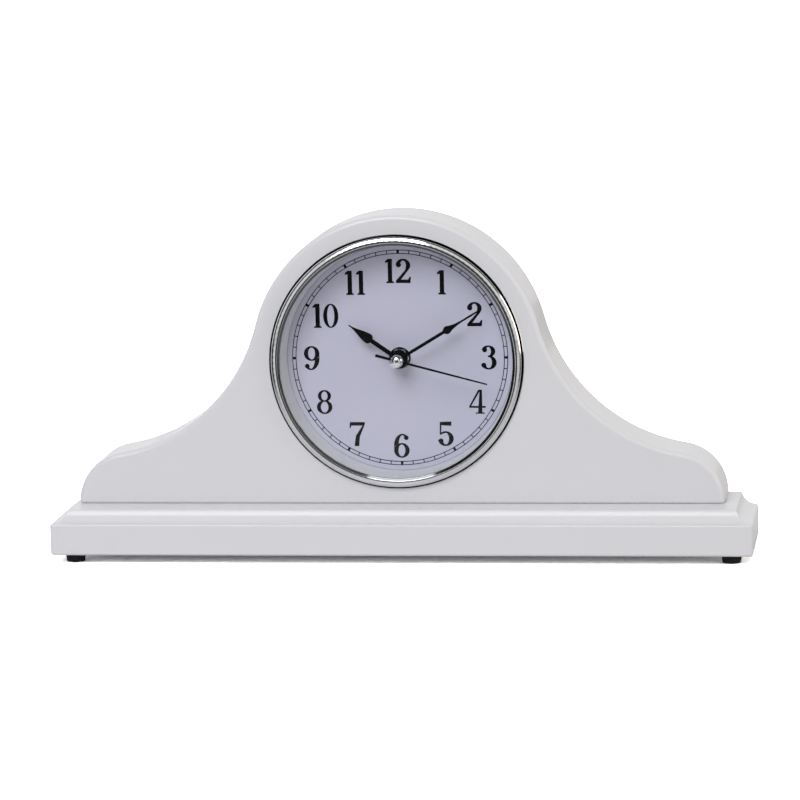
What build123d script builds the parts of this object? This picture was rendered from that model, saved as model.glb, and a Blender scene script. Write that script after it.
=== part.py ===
"""Table clock: a white lacquered tambour case on a coved base, with a quartz clock head.

Units are millimetres. +X is the viewer's right, +Y goes back into the clock, +Z is up.
The origin is on the table, under the middle of the base. The dial faces -Y.
"""

import os
from math import asin, cos, degrees, pi, radians, sin

from build123d import *

os.makedirs("parts", exist_ok=True)

# Clearances
glue_gap = 0.1
screw_clearance = 0.05
running_clearance = 0.05
drop_in_clearance = 0.3

# Base board
overall_width = 420.0
base_depth = 75.0
base_block_height = 18.8
cove_height = 7.5
cove_radius = 9.3
cove_quirk = 0.1
cove_step = 0.8
base_edge_round = 2.0
base_top_round = 1.0

# Feet
foot_height = 5.5
foot_top_radius = 6.2
foot_bottom_radius = 5.5
foot_inset = 13.0
foot_recess_radius = 3.2
foot_recess_depth = 3.0

# Case outline, measured from the arch's own middle line
case_offset = -2.7
case_front = -6.2
case_rear = 36.5
clock_height = 117.5
arch_radius = 88.0
hollow_radius = 106.0
shoulder_radius = 29.5
shoulder_rise = 1.3
hollow_end_angle = 80.5

# Case pieces
front_thickness = 12.0
front_round = 3.0
front_bottom_round = 1.5
skin_thickness = 3.5
back_thickness = 6.0
back_inset = 1.5
back_hole_radius = 48.0
floor_thickness = 12.0
block_width = 16.0
block_height = 15.0
block_spread_inner = 78.0
block_spread_outer = 132.0
arch_block_depth = 9.0
arch_block_half_angle = 9.0
arch_block_angle = 42.0

# Clock head
cup_front_radius = 70.0
cup_floor_radius = 68.3
cup_wall = 2.2
cup_floor = 2.0
cup_flange_radius = 73.0
cup_flange = 1.0
case_hole_clearance = 0.4
dial_front = 11.7
dial_thickness = 0.5
bezel_radius = 76.6
bezel_skirt = 0.45
bezel_proud = 3.7
bezel_bevel = 1.6
bezel_lip_radius = 70.0
lens_radius = 71.2
lens_thickness = 1.2
lens_rise = 4.2
ink = 0.08

# Dial markings
track_outer_radius = 65.3
track_inner_radius = 62.8
track_line = 0.45
hour_tick = 1.5
minute_tick = 0.5
numeral_height = 14.6
numeral_radius = 53.5
upper_numeral_radius = 52.5
ten_radius = 51.2

# Hands
hour_hand_front = 5.0
minute_hand_front = 1.2
second_hand_front = -2.8
hand_thickness = 0.5
hour_hand_length = 36.4
hour_spade_start = 19.7
hour_spade_radius = 22.2
hour_spade_half = 3.05
hour_neck_radius = 29.5
hour_neck_half = 1.45
hour_bar_half = 1.3
hour_hub_radius = 5.6
minute_hand_length = 56.8
minute_spade_start = 32.6
minute_spade_radius = 35.6
minute_spade_half = 2.35
minute_neck_radius = 40.0
minute_neck_half = 1.05
minute_bar_half = 0.95
minute_hub_radius = 4.9
second_hand_length = 55.8
second_tail_length = 13.4
second_half = 0.7
second_tip_half = 0.42
hand_tip_half = 0.35
second_hub_radius = 3.0
hour_hand_angle = 304.9
minute_hand_angle = 59.0
second_hand_angle = 104.8
cap_radius = 3.9
cap_height = 3.2

# Movement
movement_half = 28.0
movement_wall = 1.5
movement_depth = 16.0
rubber_washer = 1.0
bush_radius = 3.95
nut_radius = 6.2
nut_height = 2.6
dial_washer = 0.4
bay_wall_top = -10.2
bay_wall = 1.0
battery_radius = 7.1
battery_length = 49.6
battery_height = -18.6
seconds_arbor = 0.5
minute_pipe = 1.45
hour_pipe = 2.4

# Gears: tooth counts and modules
tooth_half_share = 0.21
tooth_tip_share = 0.10
tooth_root_share = 0.28
addendum = 0.75
dedendum = 1.05
rotor_teeth = 8
intermediate_teeth = 48
intermediate_pinion_teeth = 8
seconds_teeth = 40
seconds_pinion_teeth = 8
third_teeth = 60
third_pinion_teeth = 8
centre_teeth = 64
cannon_teeth = 12
motion_teeth = 36
motion_pinion_teeth = 10
hour_teeth = 40
setting_teeth = 12
fine_module = 0.25
middle_module = 0.30
motion_module = 0.35

# Values that follow from the ones above
base_bottom = foot_height
block_top = base_bottom + base_block_height
base_top = block_top + cove_height
hollow_drop = (hollow_radius + shoulder_radius) * sin(radians(hollow_end_angle))
arch_end_drop = base_top + shoulder_rise + hollow_drop - clock_height
arch_end_angle = degrees(asin(arch_end_drop / (arch_radius + hollow_radius)))
half_width = overall_width / 2
half_depth = base_depth / 2
panel_rear = case_front + front_thickness
back_rear = case_rear - back_inset
back_front = back_rear - back_thickness
cup_front = case_front - cup_flange
cup_rear = dial_front + dial_thickness + cup_floor
cup_outer_radius = cup_front_radius + cup_wall
hole_radius = cup_outer_radius + case_hole_clearance
movement_front = cup_rear + rubber_washer
movement_rear = movement_front + movement_depth
gear_front = movement_front + movement_wall
gear_rear = movement_rear - movement_wall
third_distance = middle_module * (third_teeth + seconds_pinion_teeth) / 2
centre_module = 2 * third_distance / (centre_teeth + third_pinion_teeth)
motion_distance = motion_module * (cannon_teeth + motion_teeth) / 2
hour_module = 2 * motion_distance / (motion_pinion_teeth + hour_teeth)
intermediate_distance = middle_module * (intermediate_pinion_teeth + seconds_teeth) / 2
rotor_distance = fine_module * (rotor_teeth + intermediate_teeth) / 2


def polar(distance, angle):
    """A point on the dial face, the angle counted anticlockwise from the viewer's right."""
    return (distance * cos(radians(angle)), distance * sin(radians(angle)))


third_angle = 20.0
motion_angle = 190.0
setting_angle = 150.0
third_at = polar(third_distance, third_angle)
motion_at = polar(motion_distance, motion_angle)
setting_step = polar(motion_module * (setting_teeth + motion_teeth) / 2, setting_angle)
setting_at = (motion_at[0] + setting_step[0], motion_at[1] + setting_step[1])
intermediate_at = (0, intermediate_distance)
rotor_at = (0, intermediate_distance + rotor_distance)

# Depths of the wheel layers, front to rear
hour_layer = gear_front + 0.3
cannon_layer = hour_layer + 1.8
centre_layer = cannon_layer + 1.9
third_layer = centre_layer + 1.7
mid_plate = third_layer + 1.8
mid_plate_thickness = 1.0
seconds_layer = mid_plate + mid_plate_thickness + 0.4
rotor_layer = seconds_layer + 1.5


def dial_plane(y):
    """A sketch plane facing the viewer at depth y, centred on the hand axis."""
    return Plane(origin=(case_offset, y, clock_height), x_dir=(1, 0, 0), z_dir=(0, -1, 0))


section = Plane(origin=(case_offset, 0, clock_height), x_dir=(1, 0, 0), z_dir=(0, 0, 1))
hand_axis = Axis((case_offset, 0, clock_height), (0, 1, 0))


def dome_points(edge_radius, edge_depth, rise):
    """The three points of a dome's arc, from its edge to its top on the hand axis."""
    ball = (edge_radius ** 2 + rise ** 2) / (2 * rise)
    middle_depth = edge_depth - rise + ball
    half_angle = asin(edge_radius / ball) / 2
    return (
        (edge_radius, edge_depth),
        (ball * sin(half_angle), middle_depth - ball * cos(half_angle)),
        (0, edge_depth - rise),
    )


def front_plane(y):
    """A sketch plane facing the viewer at depth y, centred on the case's foot."""
    return Plane(origin=(case_offset, y, 0), x_dir=(1, 0, 0), z_dir=(0, -1, 0))


def disc(radius, front, rear, at=(0, 0), mode=Mode.ADD):
    """A disc between two depths."""
    with BuildSketch(dial_plane(rear)) as face:
        with Locations(at):
            Circle(radius)
    extrude(face.sketch, amount=rear - front, mode=mode)


def ring(outer, inner, front, rear, at=(0, 0)):
    """A flat ring or a tube between two depths."""
    with BuildSketch(dial_plane(rear)) as face:
        with Locations(at):
            Circle(outer)
            Circle(inner, mode=Mode.SUBTRACT)
    extrude(face.sketch, amount=rear - front)


def slab(left, right, low, high, front, rear, mode=Mode.ADD):
    """A rectangular slab between two depths, placed from the hand axis."""
    with BuildSketch(dial_plane(rear)) as face:
        with Locations(((left + right) / 2, (low + high) / 2)):
            Rectangle(right - left, high - low)
    extrude(face.sketch, amount=rear - front, mode=mode)


def box_between(left, right, front, rear, low, high, mode=Mode.ADD):
    """A box placed from the origin."""
    with BuildSketch(Plane.XY.offset(low)) as face:
        with Locations(((left + right) / 2, (front + rear) / 2)):
            Rectangle(right - left, rear - front)
    extrude(face.sketch, amount=high - low, mode=mode)


def turned(points):
    """A solid of revolution about the hand axis from (radius, depth) corners."""
    with BuildSketch(section) as face:
        Polygon(*points, align=None)
    revolve(face.sketch, axis=hand_axis)


def toothed(teeth, module, front, rear, at=(0, 0), turn=0.0):
    """A spur gear blank with thin teeth; turn is the angle of one tooth's middle."""
    pitch_radius = teeth * module / 2
    pitch = pi * module
    corners = []
    for number in range(teeth):
        middle = radians(turn) + 2 * pi * number / teeth
        for radius, share in (
            (pitch_radius - dedendum * module, -tooth_root_share),
            (pitch_radius, -tooth_half_share),
            (pitch_radius + addendum * module, -tooth_tip_share),
            (pitch_radius + addendum * module, tooth_tip_share),
            (pitch_radius, tooth_half_share),
            (pitch_radius - dedendum * module, tooth_root_share),
        ):
            angle = middle + share * pitch / radius
            corners.append((at[0] + radius * cos(angle), at[1] + radius * sin(angle)))
    with BuildSketch(dial_plane(rear)) as face:
        Polygon(*corners, align=None)
    extrude(face.sketch, amount=rear - front)


def mesh_turn(driver_turn, driver_teeth, follower_teeth, line):
    """The follower's tooth angle that puts one of its gaps on the driver's tooth."""
    driver_phase = (line - driver_turn) / 360 * driver_teeth
    return line + 180 + (driver_phase + 0.5) * 360 / follower_teeth


def case_outline(inset, floor):
    """The tambour outline: arch, two hollows and two shoulders down to the floor height."""
    arch = arch_radius - inset
    hollow = hollow_radius + inset
    shoulder = shoulder_radius - inset
    reach = arch + hollow
    hollow_x = reach * cos(radians(arch_end_angle))
    hollow_z = clock_height + reach * sin(radians(arch_end_angle))
    drop = hollow + shoulder
    shoulder_x = hollow_x - drop * cos(radians(hollow_end_angle))
    shoulder_z = hollow_z - drop * sin(radians(hollow_end_angle))
    with BuildLine() as outline:
        CenterArc((0, clock_height), arch, arch_end_angle, 180 - 2 * arch_end_angle)
        CenterArc((hollow_x, hollow_z), hollow, 180 + arch_end_angle, hollow_end_angle - arch_end_angle)
        CenterArc((-hollow_x, hollow_z), hollow, -arch_end_angle, arch_end_angle - hollow_end_angle)
        CenterArc((shoulder_x, shoulder_z), shoulder, 0, hollow_end_angle)
        CenterArc((-shoulder_x, shoulder_z), shoulder, 180, -hollow_end_angle)
        Polyline(
            (shoulder_x + shoulder, shoulder_z),
            (shoulder_x + shoulder, floor),
            (-shoulder_x - shoulder, floor),
            (-shoulder_x - shoulder, shoulder_z),
        )
    make_face(outline.edges())


def case_slab(inset, floor, front, rear, mode=Mode.ADD):
    """A slab of the tambour outline between two depths."""
    with BuildSketch(front_plane(rear)) as face:
        case_outline(inset, floor)
    extrude(face.sketch, amount=rear - front, mode=mode)


def save(piece, name):
    """Label a finished piece and write its file."""
    piece.part.label = name
    export_step(piece.part, "parts/" + name + ".step")


# The pieces of the base

foot_places = {
    "foot_front_left": (-half_width + foot_inset, -half_depth + foot_inset),
    "foot_front_right": (half_width - foot_inset, -half_depth + foot_inset),
    "foot_rear_left": (-half_width + foot_inset, half_depth - foot_inset),
    "foot_rear_right": (half_width - foot_inset, half_depth - foot_inset),
}
foot_screw_radius = 1.5
foot_screw_length = 14.0
base_screw_radius = 2.0
base_screw_length = 30.0
base_screw_places = [
    (case_offset - 150.0, 12.0),
    (case_offset - 50.0, 22.0),
    (case_offset + 50.0, 12.0),
    (case_offset + 150.0, 22.0),
]
screw_head_radius = 3.6
screw_head = 2.2


def up_plane(at, height):
    """A sketch plane facing up at a place on the base."""
    return Plane(origin=(at[0], at[1], height), x_dir=(1, 0, 0), z_dir=(0, 0, 1))


def rod_up(at, low, high, radius, mode=Mode.ADD):
    """An upright rod or hole."""
    with BuildSketch(up_plane(at, low)) as face:
        Circle(radius)
    extrude(face.sketch, amount=high - low, mode=mode)


def cone_up(at, low, high, low_radius, high_radius, mode=Mode.ADD):
    """An upright cone or countersink."""
    with BuildSketch(up_plane(at, low)) as low_face:
        Circle(low_radius)
    with BuildSketch(up_plane(at, high)) as high_face:
        Circle(high_radius)
    loft([low_face.sketch.face(), high_face.sketch.face()], mode=mode)


def cross_up(at, low, high, size, width):
    """The cross slot in a screw's head."""
    with BuildSketch(up_plane(at, low)) as face:
        Rectangle(size, width)
        Rectangle(width, size)
    extrude(face.sketch, amount=high - low, mode=Mode.SUBTRACT)


with BuildPart() as base_board:
    box_between(-half_width, half_width, -half_depth, half_depth, base_bottom, block_top)
    fillet(base_board.edges().filter_by(Axis.Z), base_edge_round)
    fillet(base_board.faces().sort_by(Axis.Z)[0].edges(), base_edge_round * 0.8)
    fillet(base_board.faces().sort_by(Axis.Z)[-1].edges(), base_top_round)
    cove_x = half_width - cove_step
    cove_y = -half_depth + cove_step
    cove_middle = block_top + cove_quirk + cove_radius
    box_between(-cove_x, cove_x, cove_y, half_depth, block_top - base_top_round, base_top)
    for end_x in (-cove_x, cove_x):
        end_plane = Plane(origin=(end_x, -half_depth, cove_middle), x_dir=(1, 0, 0), z_dir=(0, 1, 0))
        with BuildSketch(end_plane):
            Circle(cove_radius)
        extrude(amount=base_depth, mode=Mode.SUBTRACT)
    with BuildSketch(Plane(origin=(-half_width, cove_y, cove_middle), x_dir=(0, 1, 0), z_dir=(1, 0, 0))):
        Circle(cove_radius)
    extrude(amount=overall_width, mode=Mode.SUBTRACT)
    for x, y in foot_places.values():
        screw_top = foot_recess_depth + foot_screw_length
        rod_up((x, y), base_bottom, screw_top + 1, foot_screw_radius + screw_clearance, Mode.SUBTRACT)
    for place in base_screw_places:
        sink_top = base_bottom + screw_head
        shank = base_screw_radius + screw_clearance
        cone_up(place, base_bottom, sink_top, screw_head_radius + screw_clearance, shank, Mode.SUBTRACT)
        rod_up(place, base_bottom, base_top, shank, Mode.SUBTRACT)
save(base_board, "base_board")

for foot_name, place in foot_places.items():
    with BuildPart() as foot:
        cone_up(place, 0, foot_height, foot_bottom_radius, foot_top_radius)
        fillet(foot.edges().sort_by(Axis.Z)[0], 0.8)
        rod_up(place, 0, foot_recess_depth, foot_recess_radius, Mode.SUBTRACT)
        rod_up(place, 0, foot_height, foot_screw_radius + screw_clearance, Mode.SUBTRACT)
    save(foot, foot_name)

with BuildPart() as foot_screws:
    for place in foot_places.values():
        rod_up(place, foot_recess_depth, foot_recess_depth + foot_screw_length, foot_screw_radius)
        rod_up(place, foot_recess_depth - 1.6, foot_recess_depth, foot_recess_radius - 0.4)
        cross_up(place, foot_recess_depth - 1.6, foot_recess_depth - 0.7, 3.4, 0.6)
save(foot_screws, "foot_screws")

with BuildPart() as base_screws:
    for place in base_screw_places:
        sink_top = base_bottom + screw_head
        screw_top = base_bottom + base_screw_length
        cone_up(place, base_bottom, sink_top, screw_head_radius, base_screw_radius)
        rod_up(place, sink_top, screw_top - base_screw_radius, base_screw_radius)
        cone_up(place, screw_top - base_screw_radius, screw_top, base_screw_radius, 0.3)
        cross_up(place, base_bottom, base_bottom + 1.0, 4.0, 0.7)
save(base_screws, "base_screws")

# The pieces of the case

with BuildPart() as case_front_panel:
    case_slab(0, base_top, case_front, panel_rear)
    front_edges = case_front_panel.faces().sort_by(Axis.Y)[0].edges()
    bottom_edge = front_edges.sort_by(Axis.Z)[0]
    fillet([edge for edge in front_edges if edge != bottom_edge], front_round)
    foot_edges = case_front_panel.faces().sort_by(Axis.Y)[0].edges()
    fillet(foot_edges.sort_by(Axis.Z)[0], front_bottom_round)
    disc(hole_radius, case_front, panel_rear, mode=Mode.SUBTRACT)
save(case_front_panel, "case_front")

with BuildPart() as case_skin:
    case_slab(0, base_top, panel_rear, case_rear)
    case_slab(skin_thickness, base_top - 1, panel_rear, case_rear, mode=Mode.SUBTRACT)
save(case_skin, "case_skin")

block_places = [side * spread for spread in (block_spread_inner, block_spread_outer) for side in (-1, 1)]
arch_block_places = [90 - arch_block_angle, 90 + arch_block_angle]
back_screw_radius = 1.5
back_screw_length = 16.0
floor_screw_places = [(-105.0, floor_thickness / 2), (105.0, floor_thickness / 2)]
back_screw_places = [(x, floor_thickness + block_height / 2) for x in block_places] + floor_screw_places
arch_screw_radius = arch_radius - skin_thickness - arch_block_depth / 2

with BuildPart() as case_floor:
    with BuildSketch(front_plane(back_front)):
        case_outline(skin_thickness + glue_gap, base_top)
        with Locations((0, base_top + floor_thickness + 100)):
            Rectangle(overall_width, 200, mode=Mode.SUBTRACT)
    extrude(amount=back_front - panel_rear)
    for place in base_screw_places:
        rod_up(
            place,
            base_top,
            base_top + floor_thickness,
            base_screw_radius + screw_clearance,
            Mode.SUBTRACT,
        )
    for x, z in floor_screw_places:
        with BuildSketch(front_plane(back_front)):
            with Locations((x, base_top + z)):
                Circle(back_screw_radius + screw_clearance)
        extrude(amount=back_screw_length - back_thickness + 1, mode=Mode.SUBTRACT)
save(case_floor, "case_floor")

with BuildPart() as glue_blocks:
    for x in block_places:
        with BuildSketch(front_plane(back_front)):
            with Locations((x, base_top + floor_thickness + block_height / 2)):
                Rectangle(block_width, block_height)
                Circle(back_screw_radius + screw_clearance, mode=Mode.SUBTRACT)
        extrude(amount=back_front - panel_rear)
    for angle in arch_block_places:
        with BuildSketch(dial_plane(back_front)):
            with BuildLine():
                outer = CenterArc(
                    (0, 0),
                    arch_radius - skin_thickness - glue_gap,
                    angle - arch_block_half_angle,
                    2 * arch_block_half_angle,
                )
                inner = CenterArc(
                    (0, 0),
                    arch_radius - skin_thickness - arch_block_depth,
                    angle - arch_block_half_angle,
                    2 * arch_block_half_angle,
                )
                Line(outer @ 0, inner @ 0)
                Line(outer @ 1, inner @ 1)
            make_face()
            with Locations(polar(arch_screw_radius, angle)):
                Circle(back_screw_radius + screw_clearance, mode=Mode.SUBTRACT)
        extrude(amount=back_front - panel_rear)
save(glue_blocks, "glue_blocks")

back_holes = [(x, base_top + z - clock_height) for x, z in back_screw_places]
back_holes = back_holes + [polar(arch_screw_radius, angle) for angle in arch_block_places]

with BuildPart() as case_back:
    case_slab(skin_thickness + glue_gap, base_top, back_front, back_rear)
    disc(back_hole_radius, back_front, back_rear, mode=Mode.SUBTRACT)
    for place in back_holes:
        disc(back_screw_radius + screw_clearance, back_front, back_rear, at=place, mode=Mode.SUBTRACT)
save(case_back, "case_back")

with BuildPart() as back_screws:
    for place in back_holes:
        disc(back_screw_radius, back_rear - back_screw_length, back_rear, at=place)
        disc(back_screw_radius * 1.9, back_rear, back_rear + 1.2, at=place)
        slab(
            place[0] - 1.8,
            place[0] + 1.8,
            place[1] - 0.3,
            place[1] + 0.3,
            back_rear + 0.6,
            back_rear + 1.3,
            mode=Mode.SUBTRACT,
        )
save(back_screws, "back_screws")

# The clock head

clip_angles = (90.0, 210.0, 330.0)
clip_boss_radius = 63.0
clip_boss = 3.2
clip_boss_height = 5.0
clip_width = 10.0
clip_metal = 0.9
clip_leg_radius = 75.5
clip_foot_radius = 81.0
clip_screw_radius = 1.2

with BuildPart() as dial_cup:
    turned(
        [
            (cup_front_radius, cup_front),
            (cup_flange_radius, cup_front),
            (cup_flange_radius, case_front),
            (cup_outer_radius, case_front),
            (cup_floor_radius + cup_wall, cup_rear),
            (bush_radius + screw_clearance, cup_rear),
            (bush_radius + screw_clearance, cup_rear - cup_floor),
            (cup_floor_radius, cup_rear - cup_floor),
        ]
    )
    for angle in clip_angles:
        disc(clip_boss, cup_rear, cup_rear + clip_boss_height, at=polar(clip_boss_radius, angle))
    for angle in clip_angles:
        disc(
            clip_screw_radius + screw_clearance,
            cup_rear + 0.5,
            cup_rear + clip_boss_height,
            at=polar(clip_boss_radius, angle),
            mode=Mode.SUBTRACT,
        )
save(dial_cup, "dial_cup")

with BuildPart() as retaining_clips:
    strap_front = cup_rear + clip_boss_height
    strap_rear = strap_front + clip_metal
    for angle in clip_angles:
        outward = (cos(radians(angle)), 0, sin(radians(angle)))
        across = (-sin(radians(angle)), 0, cos(radians(angle)))
        place = (
            case_offset - across[0] * clip_width / 2,
            0,
            clock_height - across[2] * clip_width / 2,
        )
        with BuildSketch(Plane(origin=place, x_dir=outward, z_dir=across)):
            Polygon(
                (clip_boss_radius - 4, strap_front),
                (clip_leg_radius, strap_front),
                (clip_leg_radius, panel_rear),
                (clip_foot_radius, panel_rear),
                (clip_foot_radius, panel_rear + clip_metal),
                (clip_leg_radius + clip_metal, panel_rear + clip_metal),
                (clip_leg_radius + clip_metal, strap_rear),
                (clip_boss_radius - 4, strap_rear),
                align=None,
            )
        extrude(amount=clip_width)
        disc(
            clip_screw_radius + screw_clearance,
            strap_front,
            strap_rear,
            at=polar(clip_boss_radius, angle),
            mode=Mode.SUBTRACT,
        )
save(retaining_clips, "retaining_clips")

with BuildPart() as clip_screws:
    for angle in clip_angles:
        place = polar(clip_boss_radius, angle)
        disc(clip_screw_radius, cup_rear + 1, strap_rear, at=place)
        disc(2.4, strap_rear, strap_rear + 1.4, at=place)
        slab(
            place[0] - 1.5,
            place[0] + 1.5,
            place[1] - 0.3,
            place[1] + 0.3,
            strap_rear + 0.8,
            strap_rear + 1.5,
            mode=Mode.SUBTRACT,
        )
save(clip_screws, "clip_screws")

bezel_front = case_front - bezel_proud
lens_rear = cup_front - glue_gap
lens_edge_front = lens_rear - lens_thickness

with BuildPart() as bezel:
    groove_radius = bezel_radius - 0.8
    flange_radius = bezel_lip_radius + bezel_bevel
    with BuildSketch(section):
        with BuildLine():
            crown = Spline(
                (groove_radius - 0.5, bezel_front + 1.5),
                (groove_radius - 1.3, bezel_front + 0.7),
                (groove_radius - 2.3, bezel_front + 0.25),
                (flange_radius + 0.9, bezel_front),
                (flange_radius, bezel_front + 0.15),
            )
            Polyline(
                crown @ 1,
                (bezel_lip_radius + 0.2, lens_edge_front - glue_gap - 0.25),
                (bezel_lip_radius, lens_edge_front - glue_gap),
                (lens_radius + glue_gap, lens_edge_front - glue_gap),
                (lens_radius + glue_gap, cup_front - glue_gap),
                (cup_flange_radius + glue_gap, cup_front - glue_gap),
                (cup_flange_radius + glue_gap, case_front),
                (bezel_radius, case_front),
                (bezel_radius, case_front - bezel_skirt),
                (bezel_radius - 0.2, case_front - bezel_skirt - 0.15),
                (groove_radius, case_front - 0.1),
                crown @ 0,
            )
        make_face()
    revolve(axis=hand_axis)
save(bezel, "bezel")

with BuildPart() as lens:
    with BuildSketch(section):
        with BuildLine():
            dome_start = bezel_lip_radius - 0.3
            outside = ThreePointArc(*dome_points(dome_start, lens_edge_front, lens_rise))
            inside = ThreePointArc(*dome_points(dome_start - 0.6, lens_rear, lens_rise))
            Line(outside @ 1, inside @ 1)
            Polyline(outside @ 0, (lens_radius, lens_edge_front), (lens_radius, lens_rear), inside @ 0)
        make_face()
    revolve(axis=hand_axis)
save(lens, "lens")

with BuildPart() as dial:
    ring(cup_floor_radius - 0.15, bush_radius + screw_clearance, dial_front, dial_front + dial_thickness)
save(dial, "dial")

with BuildPart() as minute_track:
    ink_front = dial_front - ink
    ring(track_outer_radius, track_outer_radius - track_line, ink_front, dial_front)
    ring(track_inner_radius + track_line, track_inner_radius, ink_front, dial_front)
    for minute in range(60):
        width = hour_tick if minute % 5 == 0 else minute_tick
        angle = 90 - minute * 6
        middle = (track_outer_radius + track_inner_radius) / 2
        along = (cos(radians(angle)), 0, sin(radians(angle)))
        at = (
            case_offset + middle * along[0],
            dial_front,
            clock_height + middle * along[2],
        )
        with BuildSketch(Plane(origin=at, x_dir=along, z_dir=(0, -1, 0))):
            Rectangle(track_outer_radius - track_inner_radius - track_line, width)
        extrude(amount=ink)
save(minute_track, "minute_track")

# The numerals, drawn from rings, bars and wedges

half_high = numeral_height / 2
thin = 0.75


def oval(at, half_wide, half_tall, side_stroke, end_stroke):
    """A ring with thick sides and thin ends."""
    with Locations(at):
        Ellipse(half_wide, half_tall)
        Ellipse(half_wide - side_stroke, half_tall - end_stroke, mode=Mode.SUBTRACT)


def stroke(points):
    """A straight-sided piece of a numeral."""
    Polygon(*points, align=None)


def figure_one(x, z):
    """A stem with a flag and a slab foot."""
    stem = 1.3
    stroke(
        [
            (x - stem, z - half_high),
            (x + stem, z - half_high),
            (x + stem, z + half_high),
            (x - stem, z + half_high),
        ]
    )
    stroke(
        [
            (x - stem, z + half_high),
            (x - 2.9, z + half_high - 1.5),
            (x - 2.9, z + half_high - 2.5),
            (x - stem, z + half_high - 2.1),
        ]
    )
    stroke(
        [
            (x - 2.3, z - half_high),
            (x + 2.3, z - half_high),
            (x + 2.3, z - half_high + thin),
            (x + stem, z - half_high + 1.2),
            (x - stem, z - half_high + 1.2),
            (x - 2.3, z - half_high + thin),
        ]
    )


def figure_two(x, z):
    """An open bowl, a sweeping neck and a heavy foot."""
    bowl_z = z + half_high - 3.9
    oval((x, bowl_z), 4.4, 3.9, 2.6, 1.05)
    with Locations((x - 2.6, bowl_z - 2.4)):
        Rectangle(5.4, 4.8, mode=Mode.SUBTRACT)
    with Locations((x, bowl_z - 4.2)):
        Rectangle(8.8, 4.6, mode=Mode.SUBTRACT)
    with Locations((x - 2.7, bowl_z + 0.3)):
        Circle(1.5)
    stroke(
        [
            (x + 4.25, bowl_z - 0.2),
            (x + 3.6, bowl_z - 2.3),
            (x - 1.2, z - half_high + 2.2),
            (x - 4.4, z - half_high + 0.6),
            (x - 4.4, z - half_high + 1.4),
            (x + 1.2, bowl_z - 3.0),
            (x + 2.05, bowl_z - 0.4),
        ]
    )
    stroke(
        [
            (x - 4.4, z - half_high),
            (x + 4.3, z - half_high),
            (x + 4.7, z - half_high + 3.7),
            (x + 3.9, z - half_high + 3.7),
            (x + 2.9, z - half_high + 2.1),
            (x - 3.0, z - half_high + 2.0),
            (x - 4.4, z - half_high + 1.3),
        ]
    )


def figure_three(x, z):
    """Two open bowls with round ends."""
    top = z + half_high - 3.55
    low = z - half_high + 4.25
    oval((x - 0.1, top), 4.2, 3.55, 2.6, 0.95)
    with Locations((x - 2.9, top - 1.7)):
        Rectangle(5.0, 5.6, mode=Mode.SUBTRACT)
    oval((x, low), 4.8, 4.25, 2.8, 0.95)
    with Locations((x - 3.1, low + 1.8)):
        Rectangle(5.4, 5.8, mode=Mode.SUBTRACT)
    with Locations((x - 2.3, top + 0.9), (x - 2.9, low - 1.6)):
        Circle(1.5)


def figure_four(x, z):
    """A stem, a bar and a thin slanting arm."""
    stroke(
        [
            (x + 0.2, z - half_high),
            (x + 2.8, z - half_high),
            (x + 2.8, z + half_high),
            (x + 1.4, z + half_high),
        ]
    )
    stroke(
        [
            (x + 2.0, z + half_high),
            (x + 0.6, z + half_high),
            (x - 5.0, z - half_high + 4.6),
            (x - 5.0, z - half_high + 3.6),
            (x - 4.0, z - half_high + 4.4),
        ]
    )
    stroke(
        [
            (x - 5.0, z - half_high + 3.6),
            (x + 4.9, z - half_high + 3.6),
            (x + 4.9, z - half_high + 4.7),
            (x - 5.0, z - half_high + 4.7),
        ]
    )
    stroke(
        [
            (x - 1.2, z - half_high),
            (x + 4.2, z - half_high),
            (x + 4.2, z - half_high + thin),
            (x - 1.2, z - half_high + thin),
        ]
    )


def figure_five(x, z):
    """A flag, a stem and an open bowl."""
    low = z - half_high + 4.5
    oval((x, low), 4.8, 4.5, 2.8, 1.0)
    with Locations((x - 3.0, low + 1.2)):
        Rectangle(5.6, 3.9, mode=Mode.SUBTRACT)
    with Locations((x - 2.9, low - 1.4)):
        Circle(1.5)
    stroke(
        [
            (x - 3.6, low + 2.4),
            (x - 2.8, low + 2.4),
            (x - 2.4, z + half_high),
            (x - 3.4, z + half_high),
        ]
    )
    stroke(
        [
            (x - 3.4, z + half_high),
            (x + 3.6, z + half_high + 0.3),
            (x + 3.4, z + half_high - 2.3),
            (x - 3.4, z + half_high - 1.9),
        ]
    )
    stroke([(x - 3.4, low + 2.6), (x - 2.6, low + 2.4), (x - 0.2, low + 4.5), (x - 1.0, low + 4.4)])


def figure_six(x, z, turn=1):
    """A full bowl with a long back; turn -1 stands it on its head for a nine."""
    low = z - turn * (half_high - 4.5)
    oval((x, low), 4.7, 4.5, 2.6, 0.9)
    oval((x + turn * 0.5, z), 5.2, half_high, 2.8, 0.9)
    with Locations((x + turn * 3.1, z - turn * 2.6)):
        Rectangle(6.2, 6.0, mode=Mode.SUBTRACT)
    with Locations((x + turn * 3.9, z + turn * 1.0)):
        Rectangle(7.0, 7.6, mode=Mode.SUBTRACT)
    with Locations((x, z - turn * 4.0)):
        Rectangle(8.4, 8.0, mode=Mode.SUBTRACT)
    oval((x, low), 4.7, 4.5, 2.6, 0.9)
    with Locations((x + turn * 2.8, z + turn * 4.9)):
        Circle(1.4)


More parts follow.
